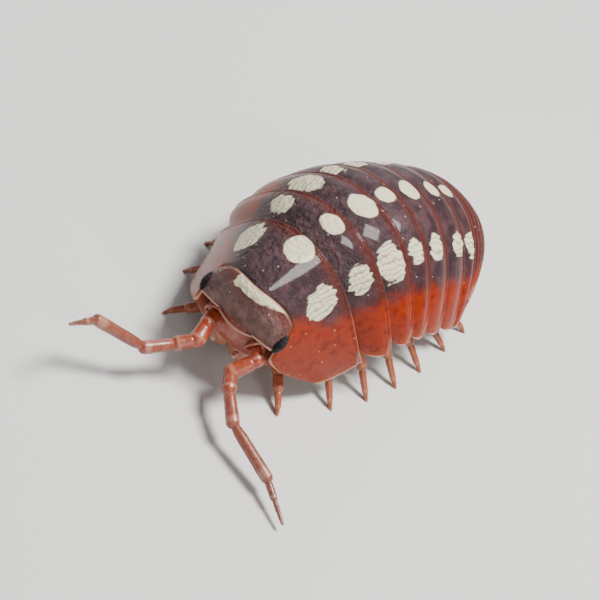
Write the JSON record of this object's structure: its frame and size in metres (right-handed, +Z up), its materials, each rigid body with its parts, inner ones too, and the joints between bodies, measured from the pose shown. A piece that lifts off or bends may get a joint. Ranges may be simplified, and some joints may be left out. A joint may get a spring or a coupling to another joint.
{
  "type": "woodlouse",
  "caption": "Life-size still model of a clown woodlouse standing with arched overlapping back plates, bent feelers and short legs, dark with cream spots and orange sides.",
  "frame": {"origin": "middle of the animal's bounds, feelers included, on the floor under its feet", "axes": "the animal faces -Y, its left side is +X, +Z is up"},
  "size_m": [0.011, 0.0219, 0.0064],
  "materials": {
    "shell": "glossy dark maroon with orange-red sides and cream spots",
    "eye": "glossy black, faceted",
    "feeler": "satin pinkish brown, orange at the base",
    "limb": "satin pale orange-brown",
    "flesh": "satin pale pinkish"
  },
  "bodies": {
    "root": {"head": "shell", "eye_left": "eye", "eye_right": "eye", "mouthparts": "flesh", "antenna_left_base": "feeler", "antenna_left_article_4": "feeler", "antenna_left_article_5": "feeler", "antenna_left_flagellum": "feeler", "antenna_right_base": "feeler", "antenna_right_article_4": "feeler", "antenna_right_article_5": "feeler", "antenna_right_flagellum": "feeler", "tergite_1": "shell", "tergite_2": "shell", "tergite_3": "shell", "tergite_4": "shell", "tergite_5": "shell", "tergite_6": "shell", "tergite_7": "shell", "pleonite_1": "shell", "pleonite_2": "shell", "pleonite_3": "shell", "pleonite_4": "shell", "pleonite_5": "shell", "telson": "shell", "uropod_left": "shell", "pleopods_left": "flesh", "leg_left_1_upper": "limb", "leg_left_1_lower": "limb", "leg_left_2_upper": "limb", "leg_left_2_lower": "limb", "leg_left_3_upper": "limb", "leg_left_3_lower": "limb", "leg_left_4_upper": "limb", "leg_left_4_lower": "limb", "leg_left_5_upper": "limb", "leg_left_5_lower": "limb", "leg_left_6_upper": "limb", "leg_left_6_lower": "limb", "leg_left_7_upper": "limb", "leg_left_7_lower": "limb", "uropod_right": "shell", "pleopods_right": "flesh", "leg_right_1_upper": "limb", "leg_right_1_lower": "limb", "leg_right_2_upper": "limb", "leg_right_2_lower": "limb", "leg_right_3_upper": "limb", "leg_right_3_lower": "limb", "leg_right_4_upper": "limb", "leg_right_4_lower": "limb", "leg_right_5_upper": "limb", "leg_right_5_lower": "limb", "leg_right_6_upper": "limb", "leg_right_6_lower": "limb", "leg_right_7_upper": "limb", "leg_right_7_lower": "limb"}
  },
  "joints": []
}
